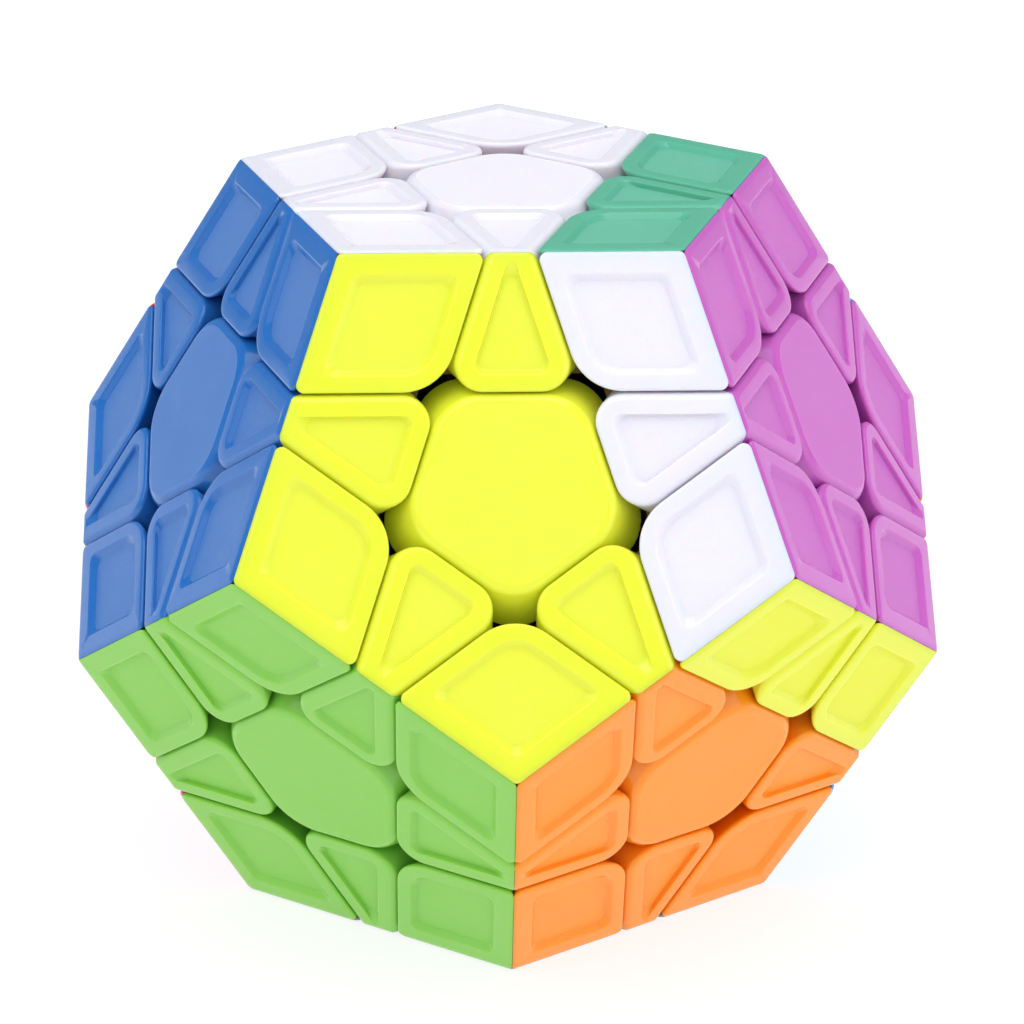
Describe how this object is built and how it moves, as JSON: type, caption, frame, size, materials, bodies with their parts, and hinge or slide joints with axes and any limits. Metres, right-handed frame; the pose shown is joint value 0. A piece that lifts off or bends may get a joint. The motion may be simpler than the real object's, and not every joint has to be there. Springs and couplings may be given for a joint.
{
  "type": "dodecahedron twisty puzzle",
  "caption": "Stickerless twelve-sided twisty puzzle: each pentagonal face turns as a layer of centre, edge and corner pieces about a sprung core.",
  "frame": {"origin": "middle of the core, where the twelve turning axes meet", "axes": "+Z out of the white face, -Z out of the grey face that it rests on; the yellow face looks along -Y and up"},
  "size_m": [0.0784, 0.0826, 0.0668],
  "materials": {
    "tile_white": "glossy moulded plastic with a satin sunk panel",
    "tile_yellow": "glossy moulded plastic with a satin sunk panel",
    "tile_purple": "glossy moulded plastic with a satin sunk panel",
    "tile_green": "glossy moulded plastic with a satin sunk panel",
    "tile_red": "glossy moulded plastic with a satin sunk panel",
    "tile_blue": "glossy moulded plastic with a satin sunk panel",
    "tile_lime": "glossy moulded plastic with a satin sunk panel",
    "tile_orange": "glossy moulded plastic with a satin sunk panel",
    "tile_sky": "glossy moulded plastic with a satin sunk panel",
    "tile_cream": "glossy moulded plastic with a satin sunk panel",
    "tile_pink": "glossy moulded plastic with a satin sunk panel",
    "tile_grey": "glossy moulded plastic with a satin sunk panel",
    "inner_plastic": "plain moulded plastic, slightly waxy",
    "screw_steel": "zinc plated",
    "spring_steel": "drawn wire"
  },
  "bodies": {
    "core": {"core": "inner_plastic", "screws": "screw_steel", "springs": "spring_steel", "centre_down": "tile_grey"},
    "centre_up": {"centre_up": "tile_white"},
    "centre_front": {"centre_front": "tile_yellow"},
    "centre_right": {"centre_right": "tile_purple"},
    "centre_back_right": {"centre_back_right": "tile_green"},
    "centre_back_left": {"centre_back_left": "tile_red"},
    "centre_left": {"centre_left": "tile_blue"},
    "centre_low_left": {"centre_low_left": "tile_lime", "edge_low_left_down": "tile_lime"},
    "centre_low_right": {"centre_low_right": "tile_orange", "edge_low_right_down": "tile_orange"},
    "centre_low_back_right": {"centre_low_back_right": "tile_sky", "edge_low_back_right_down": "tile_sky"},
    "centre_low_back": {"centre_low_back": "tile_cream", "edge_low_back_down": "tile_cream"},
    "centre_low_back_left": {"centre_low_back_left": "tile_pink", "edge_low_back_left_down": "tile_pink"},
    "edge_up_front": {"edge_up_front": "tile_white"},
    "edge_up_right": {"edge_up_right": "tile_white"},
    "edge_up_back_right": {"edge_up_back_right": "tile_white"},
    "edge_up_back_left": {"edge_up_back_left": "tile_white"},
    "edge_up_left": {"edge_up_left": "tile_white"},
    "edge_front_right": {"edge_front_right": "tile_yellow"},
    "edge_front_left": {"edge_front_left": "tile_yellow"},
    "edge_front_low_left": {"edge_front_low_left": "tile_yellow"},
    "edge_front_low_right": {"edge_front_low_right": "tile_yellow"},
    "edge_right_back_right": {"edge_right_back_right": "tile_purple"},
    "edge_right_low_right": {"edge_right_low_right": "tile_purple"},
    "edge_right_low_back_right": {"edge_right_low_back_right": "tile_purple"},
    "edge_back_right_back_left": {"edge_back_right_back_left": "tile_green"},
    "edge_back_right_low_back_right": {"edge_back_right_low_back_right": "tile_green"},
    "edge_back_right_low_back": {"edge_back_right_low_back": "tile_green"},
    "edge_back_left_left": {"edge_back_left_left": "tile_red"},
    "edge_back_left_low_back": {"edge_back_left_low_back": "tile_red"},
    "edge_back_left_low_back_left": {"edge_back_left_low_back_left": "tile_red"},
    "edge_left_low_left": {"edge_left_low_left": "tile_blue"},
    "edge_left_low_back_left": {"edge_left_low_back_left": "tile_blue"},
    "edge_low_left_low_right": {"edge_and_corner_low_left_low_right": "tile_lime"},
    "edge_low_left_low_back_left": {"edge_and_corner_low_left_low_back_left": "tile_lime"},
    "edge_low_right_low_back_right": {"edge_and_corner_low_right_low_back_right": "tile_orange"},
    "edge_low_back_right_low_back": {"edge_and_corner_low_back_right_low_back": "tile_sky"},
    "edge_low_back_low_back_left": {"edge_and_corner_low_back_low_back_left": "tile_cream"},
    "corner_up_front_right": {"corner_up_front_right": "tile_white"},
    "corner_up_front_left": {"corner_up_front_left": "tile_white"},
    "corner_up_right_back_right": {"corner_up_right_back_right": "tile_white"},
    "corner_up_back_right_back_left": {"corner_up_back_right_back_left": "tile_white"},
    "corner_up_back_left_left": {"corner_up_back_left_left": "tile_white"},
    "corner_front_right_low_right": {"corner_front_right_low_right": "tile_yellow"},
    "corner_front_left_low_left": {"corner_front_left_low_left": "tile_yellow"},
    "corner_front_low_left_low_right": {"corner_front_low_left_low_right": "tile_yellow"},
    "corner_right_back_right_low_back_right": {"corner_right_back_right_low_back_right": "tile_purple"},
    "corner_right_low_right_low_back_right": {"corner_right_low_right_low_back_right": "tile_purple"},
    "corner_back_right_back_left_low_back": {"corner_back_right_back_left_low_back": "tile_green"},
    "corner_back_right_low_back_right_low_back": {"corner_back_right_low_back_right_low_back": "tile_green"},
    "corner_back_left_left_low_back_left": {"corner_back_left_left_low_back_left": "tile_red"},
    "corner_back_left_low_back_low_back_left": {"corner_back_left_low_back_low_back_left": "tile_red"},
    "corner_left_low_left_low_back_left": {"corner_left_low_left_low_back_left": "tile_blue"}
  },
  "joints": [
    {"name": "spin_up", "type": "hinge", "parent": "core", "child": "centre_up", "pos_m": [0, 0, 0], "axis": [0, 0, 1], "continuous": true},
    {"name": "turn_front", "type": "hinge", "parent": "core", "child": "centre_front", "pos_m": [0, 0, 0], "axis": [0, -0.8944, 0.4472], "range_deg": [-360, 360]},
    {"name": "turn_right", "type": "hinge", "parent": "core", "child": "centre_right", "pos_m": [0, 0, 0], "axis": [0.8507, -0.2764, 0.4472], "range_deg": [-360, 360]},
    {"name": "turn_back_right", "type": "hinge", "parent": "core", "child": "centre_back_right", "pos_m": [0, 0, 0], "axis": [0.5257, 0.7236, 0.4472], "range_deg": [-360, 360]},
    {"name": "turn_back_left", "type": "hinge", "parent": "core", "child": "centre_back_left", "pos_m": [0, 0, 0], "axis": [-0.5257, 0.7236, 0.4472], "range_deg": [-360, 360]},
    {"name": "turn_left", "type": "hinge", "parent": "core", "child": "centre_left", "pos_m": [0, 0, 0], "axis": [-0.8507, -0.2764, 0.4472], "range_deg": [-360, 360]},
    {"name": "spin_low_left", "type": "hinge", "parent": "core", "child": "centre_low_left", "pos_m": [0, 0, 0], "axis": [-0.5257, -0.7236, -0.4472], "continuous": true},
    {"name": "turn_low_right", "type": "hinge", "parent": "core", "child": "centre_low_right", "pos_m": [0, 0, 0], "axis": [0.5257, -0.7236, -0.4472], "range_deg": [-360, 360]},
    {"name": "spin_low_back_right", "type": "hinge", "parent": "core", "child": "centre_low_back_right", "pos_m": [0, 0, 0], "axis": [0.8507, 0.2764, -0.4472], "continuous": true},
    {"name": "turn_low_back", "type": "hinge", "parent": "core", "child": "centre_low_back", "pos_m": [0, 0, 0], "axis": [0, 0.8944, -0.4472], "range_deg": [-360, 360]},
    {"name": "turn_low_back_left", "type": "hinge", "parent": "core", "child": "centre_low_back_left", "pos_m": [0, 0, 0], "axis": [-0.8507, 0.2764, -0.4472], "range_deg": [-360, 360]},
    {"name": "edge_up_front_turns_with_front", "type": "hinge", "parent": "centre_up", "child": "edge_up_front", "pos_m": [0, 0, 0], "axis": [0, -0.8944, 0.4472], "range_deg": [-360, 360]},
    {"name": "edge_up_right_turns_with_right", "type": "hinge", "parent": "centre_up", "child": "edge_up_right", "pos_m": [0, 0, 0], "axis": [0.8507, -0.2764, 0.4472], "range_deg": [-360, 360]},
    {"name": "edge_up_back_right_turns_with_back_right", "type": "hinge", "parent": "centre_up", "child": "edge_up_back_right", "pos_m": [0, 0, 0], "axis": [0.5257, 0.7236, 0.4472], "range_deg": [-360, 360]},
    {"name": "edge_up_back_left_turns_with_back_left", "type": "hinge", "parent": "centre_up", "child": "edge_up_back_left", "pos_m": [0, 0, 0], "axis": [-0.5257, 0.7236, 0.4472], "range_deg": [-360, 360]},
    {"name": "edge_up_left_turns_with_left", "type": "hinge", "parent": "centre_up", "child": "edge_up_left", "pos_m": [0, 0, 0], "axis": [-0.8507, -0.2764, 0.4472], "range_deg": [-360, 360]},
    {"name": "edge_front_right_turns_with_right", "type": "hinge", "parent": "centre_front", "child": "edge_front_right", "pos_m": [0, 0, 0], "axis": [0.8507, -0.2764, 0.4472], "range_deg": [-360, 360]},
    {"name": "edge_front_left_turns_with_left", "type": "hinge", "parent": "centre_front", "child": "edge_front_left", "pos_m": [0, 0, 0], "axis": [-0.8507, -0.2764, 0.4472], "range_deg": [-360, 360]},
    {"name": "edge_front_low_left_turns_with_low_left", "type": "hinge", "parent": "centre_front", "child": "edge_front_low_left", "pos_m": [0, 0, 0], "axis": [-0.5257, -0.7236, -0.4472], "continuous": true},
    {"name": "edge_front_low_right_turns_with_low_right", "type": "hinge", "parent": "centre_front", "child": "edge_front_low_right", "pos_m": [0, 0, 0], "axis": [0.5257, -0.7236, -0.4472], "range_deg": [-360, 360]},
    {"name": "edge_right_back_right_turns_with_back_right", "type": "hinge", "parent": "centre_right", "child": "edge_right_back_right", "pos_m": [0, 0, 0], "axis": [0.5257, 0.7236, 0.4472], "range_deg": [-360, 360]},
    {"name": "edge_right_low_right_turns_with_low_right", "type": "hinge", "parent": "centre_right", "child": "edge_right_low_right", "pos_m": [0, 0, 0], "axis": [0.5257, -0.7236, -0.4472], "range_deg": [-360, 360]},
    {"name": "edge_right_low_back_right_turns_with_low_back_right", "type": "hinge", "parent": "centre_right", "child": "edge_right_low_back_right", "pos_m": [0, 0, 0], "axis": [0.8507, 0.2764, -0.4472], "continuous": true},
    {"name": "edge_back_right_back_left_turns_with_back_left", "type": "hinge", "parent": "centre_back_right", "child": "edge_back_right_back_left", "pos_m": [0, 0, 0], "axis": [-0.5257, 0.7236, 0.4472], "range_deg": [-360, 360]},
    {"name": "edge_back_right_low_back_right_turns_with_low_back_right", "type": "hinge", "parent": "centre_back_right", "child": "edge_back_right_low_back_right", "pos_m": [0, 0, 0], "axis": [0.8507, 0.2764, -0.4472], "continuous": true},
    {"name": "edge_back_right_low_back_turns_with_low_back", "type": "hinge", "parent": "centre_back_right", "child": "edge_back_right_low_back", "pos_m": [0, 0, 0], "axis": [0, 0.8944, -0.4472], "range_deg": [-360, 360]},
    {"name": "edge_back_left_left_turns_with_left", "type": "hinge", "parent": "centre_back_left", "child": "edge_back_left_left", "pos_m": [0, 0, 0], "axis": [-0.8507, -0.2764, 0.4472], "range_deg": [-360, 360]},
    {"name": "edge_back_left_low_back_turns_with_low_back", "type": "hinge", "parent": "centre_back_left", "child": "edge_back_left_low_back", "pos_m": [0, 0, 0], "axis": [0, 0.8944, -0.4472], "range_deg": [-360, 360]},
    {"name": "edge_back_left_low_back_left_turns_with_low_back_left", "type": "hinge", "parent": "centre_back_left", "child": "edge_back_left_low_back_left", "pos_m": [0, 0, 0], "axis": [-0.8507, 0.2764, -0.4472], "range_deg": [-360, 360]},
    {"name": "edge_left_low_left_turns_with_low_left", "type": "hinge", "parent": "centre_left", "child": "edge_left_low_left", "pos_m": [0, 0, 0], "axis": [-0.5257, -0.7236, -0.4472], "continuous": true},
    {"name": "edge_left_low_back_left_turns_with_low_back_left", "type": "hinge", "parent": "centre_left", "child": "edge_left_low_back_left", "pos_m": [0, 0, 0], "axis": [-0.8507, 0.2764, -0.4472], "range_deg": [-360, 360]},
    {"name": "edge_low_left_low_right_turns_with_low_right", "type": "hinge", "parent": "centre_low_left", "child": "edge_low_left_low_right", "pos_m": [0, 0, 0], "axis": [0.5257, -0.7236, -0.4472], "range_deg": [-360, 360]},
    {"name": "edge_low_left_low_back_left_turns_with_low_back_left", "type": "hinge", "parent": "centre_low_left", "child": "edge_low_left_low_back_left", "pos_m": [0, 0, 0], "axis": [-0.8507, 0.2764, -0.4472], "range_deg": [-360, 360]},
    {"name": "edge_low_right_low_back_right_turns_with_low_back_right", "type": "hinge", "parent": "centre_low_right", "child": "edge_low_right_low_back_right", "pos_m": [0, 0, 0], "axis": [0.8507, 0.2764, -0.4472], "continuous": true},
    {"name": "edge_low_back_right_low_back_turns_with_low_back", "type": "hinge", "parent": "centre_low_back_right", "child": "edge_low_back_right_low_back", "pos_m": [0, 0, 0], "axis": [0, 0.8944, -0.4472], "range_deg": [-360, 360]},
    {"name": "edge_low_back_low_back_left_turns_with_low_back_left", "type": "hinge", "parent": "centre_low_back", "child": "edge_low_back_low_back_left", "pos_m": [0, 0, 0], "axis": [-0.8507, 0.2764, -0.4472], "range_deg": [-360, 360]},
    {"name": "corner_up_front_right_turns_with_right", "type": "hinge", "parent": "edge_up_front", "child": "corner_up_front_right", "pos_m": [0, 0, 0], "axis": [0.8507, -0.2764, 0.4472], "range_deg": [-360, 360]},
    {"name": "corner_up_front_left_turns_with_left", "type": "hinge", "parent": "edge_up_front", "child": "corner_up_front_left", "pos_m": [0, 0, 0], "axis": [-0.8507, -0.2764, 0.4472], "range_deg": [-360, 360]},
    {"name": "corner_up_right_back_right_turns_with_back_right", "type": "hinge", "parent": "edge_up_right", "child": "corner_up_right_back_right", "pos_m": [0, 0, 0], "axis": [0.5257, 0.7236, 0.4472], "range_deg": [-360, 360]},
    {"name": "corner_up_back_right_back_left_turns_with_back_left", "type": "hinge", "parent": "edge_up_back_right", "child": "corner_up_back_right_back_left", "pos_m": [0, 0, 0], "axis": [-0.5257, 0.7236, 0.4472], "range_deg": [-360, 360]},
    {"name": "corner_up_back_left_left_turns_with_left", "type": "hinge", "parent": "edge_up_back_left", "child": "corner_up_back_left_left", "pos_m": [0, 0, 0], "axis": [-0.8507, -0.2764, 0.4472], "range_deg": [-360, 360]},
    {"name": "corner_front_right_low_right_turns_with_low_right", "type": "hinge", "parent": "edge_front_right", "child": "corner_front_right_low_right", "pos_m": [0, 0, 0], "axis": [0.5257, -0.7236, -0.4472], "range_deg": [-360, 360]},
    {"name": "corner_front_left_low_left_turns_with_low_left", "type": "hinge", "parent": "edge_front_left", "child": "corner_front_left_low_left", "pos_m": [0, 0, 0], "axis": [-0.5257, -0.7236, -0.4472], "continuous": true},
    {"name": "corner_front_low_left_low_right_turns_with_low_right", "type": "hinge", "parent": "edge_front_low_left", "child": "corner_front_low_left_low_right", "pos_m": [0, 0, 0], "axis": [0.5257, -0.7236, -0.4472], "range_deg": [-360, 360]},
    {"name": "corner_right_back_right_low_back_right_turns_with_low_back_right", "type": "hinge", "parent": "edge_right_back_right", "child": "corner_right_back_right_low_back_right", "pos_m": [0, 0, 0], "axis": [0.8507, 0.2764, -0.4472], "continuous": true},
    {"name": "corner_right_low_right_low_back_right_turns_with_low_back_right", "type": "hinge", "parent": "edge_right_low_right", "child": "corner_right_low_right_low_back_right", "pos_m": [0, 0, 0], "axis": [0.8507, 0.2764, -0.4472], "continuous": true},
    {"name": "corner_back_right_back_left_low_back_turns_with_low_back", "type": "hinge", "parent": "edge_back_right_back_left", "child": "corner_back_right_back_left_low_back", "pos_m": [0, 0, 0], "axis": [0, 0.8944, -0.4472], "range_deg": [-360, 360]},
    {"name": "corner_back_right_low_back_right_low_back_turns_with_low_back", "type": "hinge", "parent": "edge_back_right_low_back_right", "child": "corner_back_right_low_back_right_low_back", "pos_m": [0, 0, 0], "axis": [0, 0.8944, -0.4472], "range_deg": [-360, 360]},
    {"name": "corner_back_left_left_low_back_left_turns_with_low_back_left", "type": "hinge", "parent": "edge_back_left_left", "child": "corner_back_left_left_low_back_left", "pos_m": [0, 0, 0], "axis": [-0.8507, 0.2764, -0.4472], "range_deg": [-360, 360]},
    {"name": "corner_back_left_low_back_low_back_left_turns_with_low_back_left", "type": "hinge", "parent": "edge_back_left_low_back", "child": "corner_back_left_low_back_low_back_left", "pos_m": [0, 0, 0], "axis": [-0.8507, 0.2764, -0.4472], "range_deg": [-360, 360]},
    {"name": "corner_left_low_left_low_back_left_turns_with_low_back_left", "type": "hinge", "parent": "edge_left_low_left", "child": "corner_left_low_left_low_back_left", "pos_m": [0, 0, 0], "axis": [-0.8507, 0.2764, -0.4472], "range_deg": [-360, 360]}
  ],
  "couplings": [
    {"joint": "edge_up_front_turns_with_front", "follows": "turn_front", "ratio": 1},
    {"joint": "edge_up_right_turns_with_right", "follows": "turn_right", "ratio": 1},
    {"joint": "edge_up_back_right_turns_with_back_right", "follows": "turn_back_right", "ratio": 1},
    {"joint": "edge_up_back_left_turns_with_back_left", "follows": "turn_back_left", "ratio": 1},
    {"joint": "edge_up_left_turns_with_left", "follows": "turn_left", "ratio": 1},
    {"joint": "edge_front_right_turns_with_right", "follows": "turn_right", "ratio": 1},
    {"joint": "edge_front_left_turns_with_left", "follows": "turn_left", "ratio": 1},
    {"joint": "edge_front_low_left_turns_with_low_left", "follows": "spin_low_left", "ratio": 1},
    {"joint": "edge_front_low_right_turns_with_low_right", "follows": "turn_low_right", "ratio": 1},
    {"joint": "edge_right_back_right_turns_with_back_right", "follows": "turn_back_right", "ratio": 1},
    {"joint": "edge_right_low_right_turns_with_low_right", "follows": "turn_low_right", "ratio": 1},
    {"joint": "edge_right_low_back_right_turns_with_low_back_right", "follows": "spin_low_back_right", "ratio": 1},
    {"joint": "edge_back_right_back_left_turns_with_back_left", "follows": "turn_back_left", "ratio": 1},
    {"joint": "edge_back_right_low_back_right_turns_with_low_back_right", "follows": "spin_low_back_right", "ratio": 1},
    {"joint": "edge_back_right_low_back_turns_with_low_back", "follows": "turn_low_back", "ratio": 1},
    {"joint": "edge_back_left_left_turns_with_left", "follows": "turn_left", "ratio": 1},
    {"joint": "edge_back_left_low_back_turns_with_low_back", "follows": "turn_low_back", "ratio": 1},
    {"joint": "edge_back_left_low_back_left_turns_with_low_back_left", "follows": "turn_low_back_left", "ratio": 1},
    {"joint": "edge_left_low_left_turns_with_low_left", "follows": "spin_low_left", "ratio": 1},
    {"joint": "edge_left_low_back_left_turns_with_low_back_left", "follows": "turn_low_back_left", "ratio": 1},
    {"joint": "edge_low_left_low_right_turns_with_low_right", "follows": "turn_low_right", "ratio": 1},
    {"joint": "edge_low_left_low_back_left_turns_with_low_back_left", "follows": "turn_low_back_left", "ratio": 1},
    {"joint": "edge_low_right_low_back_right_turns_with_low_back_right", "follows": "spin_low_back_right", "ratio": 1},
    {"joint": "edge_low_back_right_low_back_turns_with_low_back", "follows": "turn_low_back", "ratio": 1},
    {"joint": "edge_low_back_low_back_left_turns_with_low_back_left", "follows": "turn_low_back_left", "ratio": 1},
    {"joint": "corner_up_front_right_turns_with_right", "follows": "turn_right", "ratio": 1},
    {"joint": "corner_up_front_left_turns_with_left", "follows": "turn_left", "ratio": 1},
    {"joint": "corner_up_right_back_right_turns_with_back_right", "follows": "turn_back_right", "ratio": 1},
    {"joint": "corner_up_back_right_back_left_turns_with_back_left", "follows": "turn_back_left", "ratio": 1},
    {"joint": "corner_up_back_left_left_turns_with_left", "follows": "turn_left", "ratio": 1},
    {"joint": "corner_front_right_low_right_turns_with_low_right", "follows": "turn_low_right", "ratio": 1},
    {"joint": "corner_front_left_low_left_turns_with_low_left", "follows": "spin_low_left", "ratio": 1},
    {"joint": "corner_front_low_left_low_right_turns_with_low_right", "follows": "turn_low_right", "ratio": 1},
    {"joint": "corner_right_back_right_low_back_right_turns_with_low_back_right", "follows": "spin_low_back_right", "ratio": 1},
    {"joint": "corner_right_low_right_low_back_right_turns_with_low_back_right", "follows": "spin_low_back_right", "ratio": 1},
    {"joint": "corner_back_right_back_left_low_back_turns_with_low_back", "follows": "turn_low_back", "ratio": 1},
    {"joint": "corner_back_right_low_back_right_low_back_turns_with_low_back", "follows": "turn_low_back", "ratio": 1},
    {"joint": "corner_back_left_left_low_back_left_turns_with_low_back_left", "follows": "turn_low_back_left", "ratio": 1},
    {"joint": "corner_back_left_low_back_low_back_left_turns_with_low_back_left", "follows": "turn_low_back_left", "ratio": 1},
    {"joint": "corner_left_low_left_low_back_left_turns_with_low_back_left", "follows": "turn_low_back_left", "ratio": 1}
  ]
}
